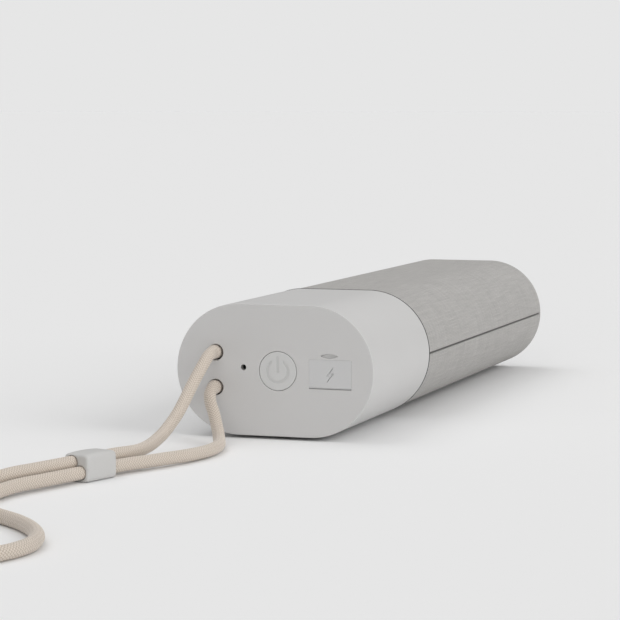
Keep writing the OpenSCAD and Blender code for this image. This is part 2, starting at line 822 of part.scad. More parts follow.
module shield_can() {
    color("#b9bcc0")
        block([-10, cradle_y1 - 34, cheek_top + board_t], [20, 24, 2.5]);
}

// Inductors, capacitors and the two connectors of the main board
module board_parts() {
    top = cheek_top + board_t;
    color("#3a3a3c") for (side = [-1, 1])
        block([side * 9 - 3.5, cradle_y0 + 18, top], [7, 7, 3.4]);
    color("#8c8f94") for (x = [-11, 11], k = [0, 1])
        translate([x, cradle_y0 + 28.5 + 7 * k, mid_z + top]) cylinder(d = 5, h = 4.6);
    color("#e8e4d8") block([-ribbon_w / 2 - 1.5, cradle_y0 + 5, top],
                           [ribbon_w + 3, 4, 0.5 - ribbon_t / 2]);
    color("#e8e4d8") for (side = [-1, 1])
        block([lead_x - 1.6, side < 0 ? cradle_y0 + 6 : cradle_y1 - 9, top], [5, 3, 2.6]);
}

module ribbon_cable() {
    color("#d9882b") block([-ribbon_w / 2, board_y + board_t + 2.2, ribbon_z - ribbon_t / 2],
                           [ribbon_w, cradle_y0 + 9 - board_y - board_t - 2.2, ribbon_t]);
}

// A pair of leads from the main board to each driver
module speaker_leads() {
    top = mid_z + cheek_top + board_t + 1.3;
    rear_x = -baffle_x - flange_t + magnet_u + magnet_l;
    for (pair = [-1, 1]) {
        board_end = pair < 0 ? cradle_y0 + 6 : cradle_y1 - 6;
        driver_y = pair < 0 ? unit_y[0] : unit_y[1];
        color(pair < 0 ? "#b03a3a" : "#2b2b2b") for (lane = [0, 1])
            tube([[lead_x + 1.8 * lane, board_end, top],
                  [lead_x + 1.8 * lane, board_end + pair * 8, top + 0.4],
                  [lead_x + 1.8 * lane, driver_y - pair * 16, top - 1.6],
                  [rear_x - 4 + 1.8 * lane, driver_y - pair * 12.4, mid_z + 7],
                  [rear_x - 4 + 1.8 * lane, driver_y - pair * 11.2, mid_z + 2],
                  [rear_x - 4 + 1.8 * lane, driver_y - pair * (magnet_r + 0.7), mid_z + 0.6]],
                 1.2, 8);
    }
}

control_cap();
power_button();
button_guide();
switch_body();
switch_plunger();
port_flap();
flap_pin();
usb_receptacle();
microphone();
mic_gasket();
control_board();
control_board_screws();
antenna();
strap();
strap_ferrules();
strap_clamp();
strap_slider();
bulkhead();
cap_gasket();
cable_grommet();
cap_screws();
enclosure_front();
enclosure_rear();
enclosure_screws();
grille();
fabric_sleeve();
end_cap();
foot_front();
foot_rear();
driver_basket(unit_y[0]);  // driver_basket_a
driver_magnet(unit_y[0]);  // driver_magnet_a
driver_spider(unit_y[0]);  // driver_spider_a
driver_surround(unit_y[0]);  // driver_surround_a
driver_cone(unit_y[0]);  // driver_cone_a
driver_coil(unit_y[0]);  // driver_coil_a
driver_basket(unit_y[1]);  // driver_basket_b
driver_magnet(unit_y[1]);  // driver_magnet_b
driver_spider(unit_y[1]);  // driver_spider_b
driver_surround(unit_y[1]);  // driver_surround_b
driver_cone(unit_y[1]);  // driver_cone_b
driver_coil(unit_y[1]);  // driver_coil_b
radiator_frame(unit_y[0]);  // radiator_frame_a
radiator_surround(unit_y[0]);  // radiator_surround_a
radiator_plate(unit_y[0]);  // radiator_plate_a
radiator_frame(unit_y[1]);  // radiator_frame_b
radiator_surround(unit_y[1]);  // radiator_surround_b
radiator_plate(unit_y[1]);  // radiator_plate_b
battery_cells();
cell_tabs();
battery_cradle();
main_board();
main_board_screws();
shield_can();
board_parts();
ribbon_cable();
speaker_leads();
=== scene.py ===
# %% [markdown]
# # A portable speaker with a braided strap, built around its CAD frame
# The speaker is a long bar with a racetrack section. It lies on its flat side, a moulded cap with the
# button, the microphone and the charging port towards the viewer, and a wrist strap leaves two holes in it.
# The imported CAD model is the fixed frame: every length below is taken from it or is a real size in
# millimetres, and nothing in it is moved.

# %% Load the frame
import json
import math

import bmesh
import bpy
import numpy as np
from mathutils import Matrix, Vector


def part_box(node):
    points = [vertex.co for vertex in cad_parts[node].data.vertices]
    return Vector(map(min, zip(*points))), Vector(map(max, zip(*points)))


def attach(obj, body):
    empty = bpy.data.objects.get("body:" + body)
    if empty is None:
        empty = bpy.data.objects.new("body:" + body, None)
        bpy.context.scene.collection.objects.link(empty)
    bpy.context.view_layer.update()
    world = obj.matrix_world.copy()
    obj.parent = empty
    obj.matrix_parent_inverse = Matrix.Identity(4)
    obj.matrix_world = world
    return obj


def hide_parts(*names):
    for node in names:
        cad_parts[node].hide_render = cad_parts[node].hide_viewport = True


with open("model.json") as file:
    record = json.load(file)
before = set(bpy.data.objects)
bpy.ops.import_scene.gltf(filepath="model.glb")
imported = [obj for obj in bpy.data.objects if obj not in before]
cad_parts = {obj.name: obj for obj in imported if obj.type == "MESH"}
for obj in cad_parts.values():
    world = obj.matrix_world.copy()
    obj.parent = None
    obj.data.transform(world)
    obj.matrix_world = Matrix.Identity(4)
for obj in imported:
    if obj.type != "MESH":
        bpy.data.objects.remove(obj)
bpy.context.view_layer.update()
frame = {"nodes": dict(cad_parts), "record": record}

MM = 0.001
scene = bpy.context.scene
print("CAD nodes:", len(frame["nodes"]))

# %% [markdown]
# ## Where the viewer stands
# A product shot of something lying down is taken from low and near, with a long lens, so that the end face
# stays almost true and the body shortens behind it. The camera stands to the right of the bar's axis and
# looks down by five degrees.

# %% The camera
LENS = 139.737
SENSOR = 36.0
CAMERA_PLACE = (0.26709, -0.89119, 0.11389)
AZIMUTH = math.radians(18.3645)
ELEVATION = math.radians(4.9089)

camera_data = bpy.data.cameras.new("camera")
camera_data.lens = LENS
camera_data.sensor_width = SENSOR
camera_data.clip_start = 0.01
camera_data.clip_end = 50.0
camera = bpy.data.objects.new("camera", camera_data)
scene.collection.objects.link(camera)
level = math.cos(ELEVATION)
back = Vector((math.sin(AZIMUTH) * level, -math.cos(AZIMUTH) * level, math.sin(ELEVATION)))
camera.location = CAMERA_PLACE
camera.rotation_mode = "QUATERNION"
camera.rotation_quaternion = (-back).to_track_quat("-Z", "Y")
scene.camera = camera
print("camera", round(LENS), "mm lens, from", [round(v, 3) for v in camera.location])

# %% [markdown]
# ## Surfaces from grids
# Almost every new piece here is a grid of points: rows along the piece, columns round it. The grid can be
# worked out for all its points at once, and one function turns it into a mesh, with a UV map in millimetres
# wherever a pattern has to follow the surface.


# %% A mesh from a grid of points
def grid_object(name, grid, uv=None, wrap_rows=False):
    """grid[i, j] is a point in millimetres. Columns always close on themselves, and rows do if wrap_rows is
    set. Cell (i, j) is the four-sided face between rows i and i + 1 and columns j and j + 1. uv[i, j] has
    one column more than the grid, so that the pattern runs on over the joint. Equal points are merged
    after."""
    rows, columns = grid.shape[:2]
    i, j = np.meshgrid(np.arange(rows if wrap_rows else rows - 1), np.arange(columns), indexing="ij")
    i, j = i.ravel(), j.ravel()
    corners = [(i, j), (i + 1, j), (i + 1, j + 1), (i, j + 1)]
    faces = np.stack([(r % rows) * columns + c % columns for r, c in corners], axis=1)
    mesh = bpy.data.meshes.new(name)
    mesh.vertices.add(rows * columns)
    mesh.vertices.foreach_set("co", (grid.reshape(-1, 3) * MM).astype(np.float32).ravel())
    mesh.loops.add(faces.size)
    mesh.loops.foreach_set("vertex_index", faces.astype(np.int32).ravel())
    mesh.polygons.add(len(faces))
    mesh.polygons.foreach_set("loop_start", np.arange(0, faces.size, 4, dtype=np.int32))
    mesh.update(calc_edges=True)
    if uv is not None:
        layer = mesh.uv_layers.new(name="surface")
        at = np.stack([uv[r % uv.shape[0], c] for r, c in corners], axis=1)
        layer.data.foreach_set("uv", at.astype(np.float32).ravel())
    mesh.validate()
    merge(mesh)
    mesh.shade_smooth()
    made = bpy.data.objects.new(name, mesh)
    scene.collection.objects.link(made)
    return made


def merge(mesh, distance=1e-6):
    """Joins points that lie on each other, as at a pole or between the loose triangles of a CAD mesh."""
    work = bmesh.new()
    work.from_mesh(mesh)
    bmesh.ops.remove_doubles(work, verts=work.verts, dist=distance)
    bmesh.ops.dissolve_degenerate(work, edges=work.edges, dist=distance)
    work.to_mesh(mesh)
    work.free()


def report(made, what):
    """Says how large a finished piece is, in millimetres, and how many faces it has."""
    points = np.array([v.co for v in made.data.vertices]) / MM
    size = " x ".join(f"{s:.1f}" for s in np.ptp(points, axis=0))
    print(f"{made.name}: {what}, {size} mm, {len(made.data.polygons)} faces")


# %% [markdown]
# ## The strap
# The wrist strap is a round braided cord, 4.2 mm thick. It leaves the upper hole, sinks to the table, passes
# through the slider, makes the wrist loop, comes back through the slider and goes into the lower hole. Its
# route is a list of points, the same that the CAD model uses. A plain curve with a round bevel would give
# the path but not the braid, so the tube is a grid: the rows follow the smooth line and the columns go round
# it, and the crossing yarns lift the surface by a tenth of a millimetre.

# %% The strap's route
STRAP_D = 4.2
STRAP_ROUTE = [
    (-21.6, -118, 29.3), (-21.6, -122, 29.3), (-21.6, -126, 29.3), (-21.4, -130, 29),
    (-21.2, -133.5, 28), (-21.1, -137.5, 26.1), (-21.3, -142, 23.3), (-21.6, -147, 19.9),
    (-21.7, -152.5, 16.2), (-21.9, -158.5, 12.4), (-22.2, -164.5, 9.4), (-22.1, -171, 7.3),
    (-21.6, -178.5, 6), (-20.9, -186.5, 5.3), (-20.6, -194.5, 5.1), (-21.1, -202, 5.4),
    (-22.2, -209, 5.8), (-23.7, -215.5, 5.9), (-26.7, -226, 5.9), (-29.7, -236.5, 5.9),
    (-32.7, -247, 5.9), (-35.7, -257.5, 5.9), (-38.7, -267, 5), (-42.4, -276.5, 3.8),
    (-46.6, -286, 2.8), (-50.6, -295.5, 2.3), (-54.4, -305.5, 2.1), (-57.6, -316, 2.1),
    (-59.6, -327, 2.1), (-59.6, -338, 2.1), (-57, -348.5, 2.1), (-51.6, -357.5, 2.1),
    (-43.8, -364.5, 2.1), (-34, -369, 2.1), (-23.4, -370.6, 2.1), (-13, -369.2, 2.1),
    (-3.6, -365, 2.1), (4.2, -358.5, 2.1), (8, -350.7, 2.1), (9.2, -341, 2.1),
    (7.2, -332, 2.1), (3.5, -324.3, 2.1), (-1.5, -317.3, 2.1), (-7.2, -311.2, 2.1),
    (-12.1, -307.1, 2.1), (-19, -301.8, 2.1), (-25.4, -295.3, 2.1), (-30.6, -287.4, 2.1),
    (-33.6, -277.6, 2.2), (-34, -268, 2.6), (-32.6, -258.4, 2.9), (-29.6, -247.9, 2.9),
    (-26.6, -237.4, 2.9), (-23.6, -226.9, 2.9), (-20.6, -216.4, 2.9), (-17.9, -209, 2.9),
    (-14.9, -202, 2.8), (-11.8, -194, 2.7), (-8.8, -185, 2.5), (-6.8, -175, 2.3),
    (-6.6, -166, 2.2), (-8.2, -157, 2.1), (-10.8, -149.6, 2.5), (-13.2, -144, 3.9),
    (-15.4, -140, 6.6), (-17.5, -137, 10), (-19.6, -134.4, 13), (-21, -131.2, 15.4),
    (-21.5, -127.6, 16.9), (-21.6, -124.5, 17.2), (-21.6, -121.5, 17.2), (-21.6, -118, 17.2),
]


# %% A smooth line through points
def smooth_line(points, step):
    """A Catmull-Rom curve: between two points it is the cubic whose slope at each is half the way from the
    point before to the point after. It is then sampled again so that its points lie one step apart."""
    p = np.array(points, float)
    p = np.vstack([2 * p[0] - p[1], p, 2 * p[-1] - p[-2]])
    a, b, c, d = p[:-3, None], p[1:-2, None], p[2:-1, None], p[3:, None]
    t = np.linspace(0, 1, 40, endpoint=False)[None, :, None]
    curve = 0.5 * (2 * b + (c - a) * t + (2 * a - 5 * b + 4 * c - d) * t**2 + (3 * b - 3 * c + d - a) * t**3)
    curve = np.vstack([curve.reshape(-1, 3), p[-2]])
    along = np.concatenate([[0], np.cumsum(np.linalg.norm(np.diff(curve, axis=0), axis=1))])
    even = np.linspace(0, along[-1], round(along[-1] / step) + 1)
    return np.stack([np.interp(even, along, curve[:, k]) for k in range(3)], axis=1), along[-1]


def frames_along(line):
    """For each point of the line, the unit vectors to its side and above it, square to its direction."""
    ahead = np.gradient(line, axis=0)
    ahead /= np.linalg.norm(ahead, axis=1, keepdims=True)
    side = np.cross(ahead, [0.0, 0.0, 1.0])
    side /= np.linalg.norm(side, axis=1, keepdims=True)
    return side, np.cross(side, ahead)


RING_STEP = 0.305
strap_line, strap_length = smooth_line(STRAP_ROUTE, RING_STEP)
print(f"strap: {strap_length:.1f} mm long, {len(strap_line)} rings")

# %% [markdown]
# The braid has twelve yarns each way. Yarns of one family follow u + v = constant and those of the other
# u - v = constant, where u counts yarns round the cord and v counts them along it. Each yarn is round across
# and goes over one crossing and under the next, and what shows is whichever family is higher there.

# %% The strap's braided tube
YARNS = 12
SIDES = 4 * YARNS
YARN_W = math.pi * STRAP_D / YARNS
BRAID_LIFT = 0.22
HOLE_Y = -125.25
HOLE_SWELL = 0.18


def braid_height(u, v):
    """0 in the pits between yarns and 1 on their crowns. p and q are the places across the two yarns that
    cross here, from -1/2 to 1/2, and over is +1 where the first family lies on top and -1 where it is
    below."""
    first, second = u + v, u - v
    p, q = first - np.floor(first) - 0.5, second - np.floor(second) - 0.5
    over = 1 - 2 * ((np.floor(first) + np.floor(second)) % 2)
    one = np.sqrt(1 - 3.4 * p**2) + 0.45 * over * np.cos(math.pi * q)
    two = np.sqrt(1 - 3.4 * q**2) - 0.45 * over * np.cos(math.pi * p)
    return np.clip((np.maximum(one, two) - 0.6) / 0.85, 0, 1)


def strap_grid(line):
    """Ring i has its centre on the line; point j stands off it by the radius, less the depth of the braid
    there, in the direction that turns from the side vector to the upper one. The first and last rings shrink
    to points. At the face the braid is bunched up and nearly fills its hole: the radius grows there along an
    S curve."""
    side, above = frames_along(line)
    turn = np.linspace(0, 2 * math.pi, SIDES, endpoint=False)
    u, v = np.meshgrid(turn / (2 * math.pi) * YARNS, np.arange(len(line)) * RING_STEP / YARN_W)
    height = braid_height(u + 0.13, v)
    in_hole = 1 / (1 + np.exp(-(line[:, 1:2] - HOLE_Y + 1.6) / 0.7))
    radius = (STRAP_D / 2 - BRAID_LIFT * (1 - height)) * (1 + HOLE_SWELL * in_hole)
    radius[[0, -1]] = 0
    out = side[:, None] * np.cos(turn)[None, :, None] + above[:, None] * np.sin(turn)[None, :, None]
    return line[:, None] + out * radius[:, :, None]


strap_points = strap_grid(strap_line)
rings = np.arange(len(strap_line)) * RING_STEP
strap_uv = np.stack(np.meshgrid(np.arange(SIDES + 1) / 4, rings / YARN_W), axis=2)
strap = grid_object("strap_braid", strap_points, strap_uv)
report(strap, "braided strap")
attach(strap, "root")
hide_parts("strap")

# %% [markdown]
# ## The slider
# The slider is a small soft rubber block, 14 mm long, with two bores that hold the strands side by side on a
# slant. Its sides are flat, its edges are well rounded and its top is slightly crowned. A box with a bevel
# has no crown, so the block is an outline carried along the strands and drawn in at both ends. The bores are
# cut with turned shapes that flare at the mouths, as a moulded hole does.

# %% The slider's place and outline
SLIDER_AT = np.array([-24.55, -224.35])
SLIDER_TURN = math.radians(15.945)
SLIDER_W, SLIDER_H, SLIDER_L = 9.4, 8.8, 14.0
SLIDER_BORES = [(1.615, 2.9), (-1.615, 5.9)]
BORE_R = 2.2


def on_strands(points):
    """Turns points from the slider's own axes, x across, y along the strands, z up, into the frame's."""
    c, s = math.cos(SLIDER_TURN), math.sin(SLIDER_TURN)
    x, y, z = np.moveaxis(points, -1, 0)
    return np.stack([SLIDER_AT[0] + c * x + s * y, SLIDER_AT[1] - s * x + c * y, z], axis=-1)


def soft_box_outline(width, height, power, count):
    """A superellipse: |x/a|^power + |z/b|^power = 1. A high power gives nearly flat sides that swell a little
    in the middle and turn into round corners. Returns the points and the directions square to the outline."""
    turn = np.linspace(0, 2 * math.pi, count, endpoint=False) + 1e-4
    c, s = np.cos(turn), np.sin(turn)
    r = (np.abs(c) ** power + np.abs(s) ** power) ** (-1 / power)
    points = np.stack([width / 2 * r * c, height / 2 * r * s], axis=1)
    along = np.roll(points, -1, axis=0) - np.roll(points, 1, axis=0)
    normal = np.stack([along[:, 1], -along[:, 0]], axis=1)
    return points, normal / np.linalg.norm(normal, axis=1, keepdims=True)


def rounded_ends(length, radius, steps=6):
    """Pairs of inset and place along y: a quarter circle at each end, between straight sides."""
    turn = np.linspace(0, math.pi / 2, steps)
    inset, along = radius * (1 - np.sin(turn)), length / 2 - radius * (1 - np.cos(turn))
    middle = np.linspace(-length / 2 + radius, length / 2 - radius, 12)[1:-1]
    return (np.concatenate([inset, np.zeros(10), inset[::-1]]),
            np.concatenate([-along, middle, along[::-1]]))


# %% The slider's block
outline, normal = soft_box_outline(SLIDER_W, SLIDER_H, 6.5, 128)
inset, along = rounded_ends(SLIDER_L, 0.9)
block = outline[None] - inset[:, None, None] * normal[None]
block = np.stack([block[..., 0], np.broadcast_to(along[:, None], block.shape[:2]), block[..., 1]], axis=2)
CROWN = 0.35
block[..., 2] += SLIDER_H / 2 - CROWN * (block[..., 2] > 0) * (block[..., 1] / (SLIDER_L / 2)) ** 2
ends = [np.broadcast_to(block[k].mean(axis=0), block[:1].shape) for k in (0, -1)]
shrink = [ends[k] + (block[-k][None] - ends[k]) * 0.5 for k in (0, 1)]
block = np.concatenate([ends[0], shrink[0], block, shrink[1], ends[1]])
slider = grid_object("slider_block", on_strands(block))


# %% The slider's bores
def flared_bore(name, x, z):
    """A turned shape along y: radius BORE_R in the middle, growing by a quarter circle of 0.3 mm at each
    mouth."""
    lip = 0.3
    turn = np.linspace(0, math.pi / 2, 7)
    y = SLIDER_L / 2 - lip + lip * np.sin(turn)
    r = BORE_R + lip * (1 - np.cos(turn))
    y = np.concatenate([[-SLIDER_L], -y[::-1], y, [SLIDER_L]])
    r = np.concatenate([r[-1:], r[::-1], r, r[-1:]])
    y, r = np.concatenate([y[:1], y, y[-1:]]), np.concatenate([[0], r, [0]])
    round_it = np.linspace(0, 2 * math.pi, 64, endpoint=False)
    grid = np.stack([x + r[:, None] * np.cos(round_it), np.broadcast_to(y[:, None], (len(y), 64)),
                     z + r[:, None] * np.sin(round_it)], axis=2)
    return grid_object(name, on_strands(grid))


def cut(made, cutters):
    """Takes the cutters out of a piece, once and for all, and removes them."""
    for cutter in cutters:
        modifier = made.modifiers.new("cut", "BOOLEAN")
        modifier.object = cutter
        modifier.operation = "DIFFERENCE"
        modifier.solver = "MANIFOLD"
    bpy.context.view_layer.update()
    result = bpy.data.meshes.new_from_object(made.evaluated_get(bpy.context.evaluated_depsgraph_get()))
    made.modifiers.clear()
    made.data = result
    for cutter in cutters:
        bpy.data.objects.remove(cutter)


cut(slider, [flared_bore(f"bore_{k}", *at) for k, at in enumerate(SLIDER_BORES)])
slider.data.shade_smooth()
slider.data.set_sharp_from_angle(angle=math.radians(40))
report(slider, "strap slider with two flared bores")
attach(slider, "slider")
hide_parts("strap_slider")

# %% [markdown]
# ## Plain pale studio
# The table is one wide matte sheet, so large that its edge is out of sight. Light comes from a pale room all
# round and from three far soft panels: one to the right for the side, a weaker low one in front for the end
# face, and one high up on the left. The room is dim at the horizon and bright overhead, as under a wide
# softbox, so the shadow under the body comes from the light alone and the table keeps one plain tone.

# %% Colours and nodes


def linear(code):
    """A colour as written for the screen, #RRGGBB, in the linear values that a shader works with."""
    part = np.array([int(code[k:k + 2], 16) for k in (1, 3, 5)]) / 255
    part = np.where(part <= 0.04045, part / 12.92, ((part + 0.055) / 1.055) ** 2.4)
    return (*map(float, part), 1.0)


def add(tree, kind, inputs=None, **settings):
    """Adds one node: settings are its own properties, and inputs give each socket a value or the output that
    is linked to it."""
    node = tree.nodes.new("ShaderNode" + kind)
    for name, value in settings.items():
        setattr(node, name, value)
    for name, value in (inputs or {}).items():
        if isinstance(value, bpy.types.NodeSocket):
            tree.links.new(value, node.inputs[name])
        else:
            node.inputs[name].default_value = value
    return node


def new_material(name, **principled):
    """An empty material with one principled shader. Returns it, its tree and the shader."""
    material = bpy.data.materials.new(name)
    material.use_nodes = True
    tree = material.node_tree
    tree.nodes.clear()
    shader = add(tree, "BsdfPrincipled", principled)
    add(tree, "OutputMaterial", {"Surface": shader.outputs[0]})
    return material, tree, shader


# %% The table
FLOOR_HALF = 30.0
floor_mesh = bpy.data.meshes.new("table")
corner = [(x * FLOOR_HALF, y * FLOOR_HALF, 0) for x, y in ((-1, -1), (1, -1), (1, 1), (-1, 1))]
floor_mesh.from_pydata(corner, [], [(0, 1, 2, 3)])
floor = bpy.data.objects.new("table", floor_mesh)
scene.collection.objects.link(floor)

paper, tree, shader = new_material("seamless_paper", Roughness=0.9)
place = add(tree, "TexCoord").outputs["Object"]
grain = add(tree, "TexNoise", {"Vector": place, "Scale": 900.0, "Detail": 3.0})
tone = add(tree, "MixRGB", {0: grain.outputs[0], 1: linear("#f1f1f1"), 2: linear("#f2f2f2")})
tree.links.new(tone.outputs[0], shader.inputs["Base Color"])
shader.inputs["Specular IOR Level"].default_value = 0.0
floor_mesh.materials.append(paper)

# %% The light
HORIZON_LIGHT = 0.1
OVERHEAD_LIGHT = 0.768
BACKDROP = "#e6e6e6"
world = bpy.data.worlds.new("room")
world.use_nodes = True
scene.world = world
tree = world.node_tree
tree.nodes.clear()
seen = add(tree, "Background", {"Color": linear(BACKDROP), "Strength": 1.0})
height = add(tree, "SeparateXYZ", {0: add(tree, "TexCoord").outputs["Generated"]}).outputs["Z"]
dome = add(tree, "MapRange", {0: height, 1: 0.0, 2: 1.0, 3: HORIZON_LIGHT, 4: OVERHEAD_LIGHT})
lit = add(tree, "Background", {"Color": linear("#ffffff"), "Strength": dome.outputs[0]})
path = add(tree, "LightPath")
mixed = add(tree, "MixShader", {0: path.outputs["Is Camera Ray"], 1: lit.outputs[0], 2: seen.outputs[0]})
add(tree, "OutputWorld", {"Surface": mixed.outputs[0]})


def soft_light(name, azimuth, elevation, spread, strength):
    """Light from one direction, as from a panel far away: spread is how wide the panel looks, in degrees. It
    is the same all over the table, so the table stays even up to its far edge."""
    data = bpy.data.lights.new(name, "SUN")
    data.angle = math.radians(spread)
    data.energy = strength
    lamp = bpy.data.objects.new(name, data)
    a, e = math.radians(azimuth), math.radians(elevation)
    source = Vector((math.sin(a) * math.cos(e), -math.cos(a) * math.cos(e), math.sin(e)))
    lamp.rotation_mode = "QUATERNION"
    lamp.rotation_quaternion = (-source).to_track_quat("-Z", "Y")
    scene.collection.objects.link(lamp)


soft_light("side_panel", 80, 28, 40, 1.17)
soft_light("front_panel", 10, 15, 40, 0.5)
soft_light("top_panel", -100, 65, 40, 0.46)
scene.view_settings.view_transform = "Standard"
print("table, room light and three soft panels")

# %% [markdown]
# ## Moulded plastic
# The cap, the button and the far end are ABS with a fine spark-eroded grain: matte, with no sparkle, and so
# fine that it only breaks up the highlights. One function makes the material for any colour: a little noise
# at 0.25 mm for the grain, and a very slow change of tone that keeps large faces from looking drawn.


# %% Moulded plastic with an eroded grain
def moulded(name, colour, roughness=0.55, grain_mm=0.25, depth_mm=0.012, spread=0.03):
    """Colour varies by spread over about 40 mm, roughness by a tenth with the grain."""
    material, tree, shader = new_material(name, **{"IOR": 1.53})
    place = add(tree, "TexCoord").outputs["Object"]
    slow = add(tree, "TexNoise", {"Vector": place, "Scale": 1 / (40 * MM), "Detail": 2.0})
    fine = add(tree, "TexNoise", {"Vector": place, "Scale": 1 / (grain_mm * MM), "Detail": 2.0})
    base = np.array(linear(colour))
    low, high = base * (1 - spread), base * (1 + spread)
    low[3] = high[3] = 1
    tone = add(tree, "MixRGB", {0: slow.outputs[0], 1: tuple(low), 2: tuple(high)})
    speck = add(tree, "MixRGB", {0: fine.outputs[0], 1: (0.96, 0.96, 0.96, 1), 2: (1.04, 1.04, 1.04, 1)})
    both = add(tree, "MixRGB", {0: 1.0, 1: tone.outputs[0], 2: speck.outputs[0]}, blend_type="MULTIPLY")
    rough = add(tree, "MapRange", {0: fine.outputs[0], 3: roughness - 0.06, 4: roughness + 0.06})
    bump = add(tree, "Bump", {"Height": fine.outputs[0], "Distance": depth_mm * MM, "Strength": 0.6})
    tree.links.new(both.outputs[0], shader.inputs["Base Color"])
    tree.links.new(rough.outputs[0], shader.inputs["Roughness"])
    tree.links.new(bump.outputs[0], shader.inputs["Normal"])
    return material


cap_abs = moulded("cap_abs", "#cecdcc")
button_abs = moulded("button_abs", "#d0d0cf", roughness=0.5)
flap_rubber = moulded("flap_soft_rubber", "#cdcdcd", roughness=0.62)
end_abs = moulded("end_abs", "#cecdcc")
slider_rubber = moulded("slider_silicone", "#c6c5c3", roughness=0.6)
print("moulded materials:", [m.name for m in (cap_abs, button_abs, flap_rubber, end_abs, slider_rubber)])

# %% [markdown]
# ## Rounded edges on the moulded pieces
# A CAD solid has knife edges, and a moulding never has: the light that an edge catches is most of what says
# "real". The cap, button, flap, far end and feet keep their CAD shape, so each is a copy of its CAD mesh
# with its loose triangles merged, flat faces joined, and a Bevel modifier whose width is set edge by edge.


# %% A copy of a CAD node with rounded edges
def rounded_copy(name, node, body, material, width_mm, fuller=0.0):
    """width_mm(middle) gives the rounding in mm for the edges whose middles are the rows of the array, in mm.
    Only edges where the surface turns by more than 25 degrees are rounded. A piece that is fuller by some mm
    is that much wider and higher on each side, across the body, so it nearly fills its opening."""
    mesh = frame["nodes"][node].data.copy()
    mesh.name = name
    work = bmesh.new()
    work.from_mesh(mesh)
    bmesh.ops.remove_doubles(work, verts=work.verts, dist=1e-6)
    bmesh.ops.dissolve_limit(work, angle_limit=math.radians(0.5), verts=work.verts, edges=work.edges)
    low, high = (Vector(v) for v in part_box(node))
    middle_of, half = (low + high) / 2, (high - low) / 2
    for vert in work.verts:
        for axis in (0, 2):
            vert.co[axis] += (vert.co[axis] - middle_of[axis]) * fuller * MM / half[axis]
    work.edges.ensure_lookup_table()
    sharp = np.array([len(e.link_faces) == 2 and e.calc_face_angle(0) > math.radians(25) for e in work.edges])
    middle = np.array([(e.verts[0].co + e.verts[1].co) / 2 for e in work.edges]) / MM
    weight = width_mm(middle) * sharp
    largest = weight.max()
    layer = work.edges.layers.float.new("bevel_weight_edge")
    for edge, value in zip(work.edges, weight / largest):
        edge[layer] = value
    work.to_mesh(mesh)
    work.free()
    mesh.shade_smooth()
    mesh.set_sharp_from_angle(angle=math.radians(30))
    mesh.materials.clear()
    mesh.materials.append(material)
    made = bpy.data.objects.new(name, mesh)
    scene.collection.objects.link(made)
    bevel = made.modifiers.new("rounded", "BEVEL")
    bevel.limit_method = "WEIGHT"
    bevel.width = largest * MM
    bevel.segments = 3
    bevel.harden_normals = True
    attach(made, body)
    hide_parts(node)
    report(made, f"{node} with {int((weight > 0).sum())} rounded edges")
    return made


# %% The control cap
cap_low, cap_high = (np.array(v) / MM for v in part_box("control_cap"))
FACE_Y, SEAM_Y = cap_low[1], cap_high[1]
MID_Z = (cap_low[2] + cap_high[2]) / 2
HALF_H = (cap_high[2] - cap_low[2]) / 2
HALF_W = (cap_high[0] - cap_low[0]) / 2


def from_rim(points, inset=0.0):
    """How far outside the racetrack outline, drawn in by inset, each point lies, in mm."""
    x = np.maximum(np.abs(points[:, 0]) - (HALF_W - HALF_H), 0)
    return np.hypot(x, points[:, 2] - MID_Z) - (HALF_H - inset)


def cap_rounding(middle):
    on_face = np.abs(middle[:, 1] - FACE_Y) < 0.02
    on_seam = np.abs(middle[:, 1] - SEAM_Y) < 0.02
    rim = np.abs(from_rim(middle)) < 0.1
    width = np.where(on_face, 0.12, 0.0)
    width[on_face & rim] = 0.3
    width[on_seam & rim] = 0.25
    for x, z, r in ((1.3, 23.45, 6.75), (-21.2, 29.2, 2.7), (-21.2, 17.2, 2.7)):
        near = np.hypot(middle[:, 0] - x, middle[:, 2] - z) < r + 0.1
        width[on_face & near] = 0.22 if r > 5 else 0.4
    return width


rounded_copy("control_cap_shell", "control_cap", "root", cap_abs, cap_rounding)


# %% The power button and the port flap
def face_rounding(rim_width, reach):
    """Rounds the edges at the front face by rim_width, and what lies deeper inside (the mark) by less."""
    def width(middle):
        front = np.abs(middle[:, 1] - FACE_Y) < 0.02
        return np.where(front, np.where(reach(middle), rim_width, 0.06), 0.0)
    return width


BUTTON_AT = (1.3, 23.45)
BUTTON_R = 6.55
FLAP_AT = (19.95, 22.8)
FLAP_HALF = (7.35, 4.85)


def button_rim(middle):
    return np.hypot(middle[:, 0] - BUTTON_AT[0], middle[:, 2] - BUTTON_AT[1]) > BUTTON_R - 0.2


def flap_rim(middle):
    across = np.abs(middle[:, 0] - FLAP_AT[0]) / FLAP_HALF[0]
    upward = np.abs(middle[:, 2] - FLAP_AT[1]) / FLAP_HALF[1]
    return np.maximum(across, upward) > 0.97


rounded_copy("button_face", "power_button", "button", button_abs,
             face_rounding(0.3, button_rim), fuller=0.1)
rounded_copy("port_flap_cover", "port_flap", "flap", flap_rubber,
             face_rounding(0.12, flap_rim), fuller=0.13)


# %% The far end and the feet
def end_rounding(middle):
    return np.where(np.abs(middle[:, 1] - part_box("end_cap")[1].y / MM) < 0.02, 0.3, 0.0)


def foot_rounding(middle):
    return np.where(middle[:, 2] < 0.02, 0.3, 0.0)


rounded_copy("end_plate", "end_cap", "root", end_abs, end_rounding)
# The feet's black rubber is also the colour of the painted shade bead at the cap joint.
foot_silicone_and_shade_bead = moulded("foot_silicone_and_shade_bead", "#2a2a2b", roughness=0.8, grain_mm=0.4)
for name in ("foot_front", "foot_rear"):
    rounded_copy(name + "_pad", name, "root", foot_silicone_and_shade_bead, foot_rounding)
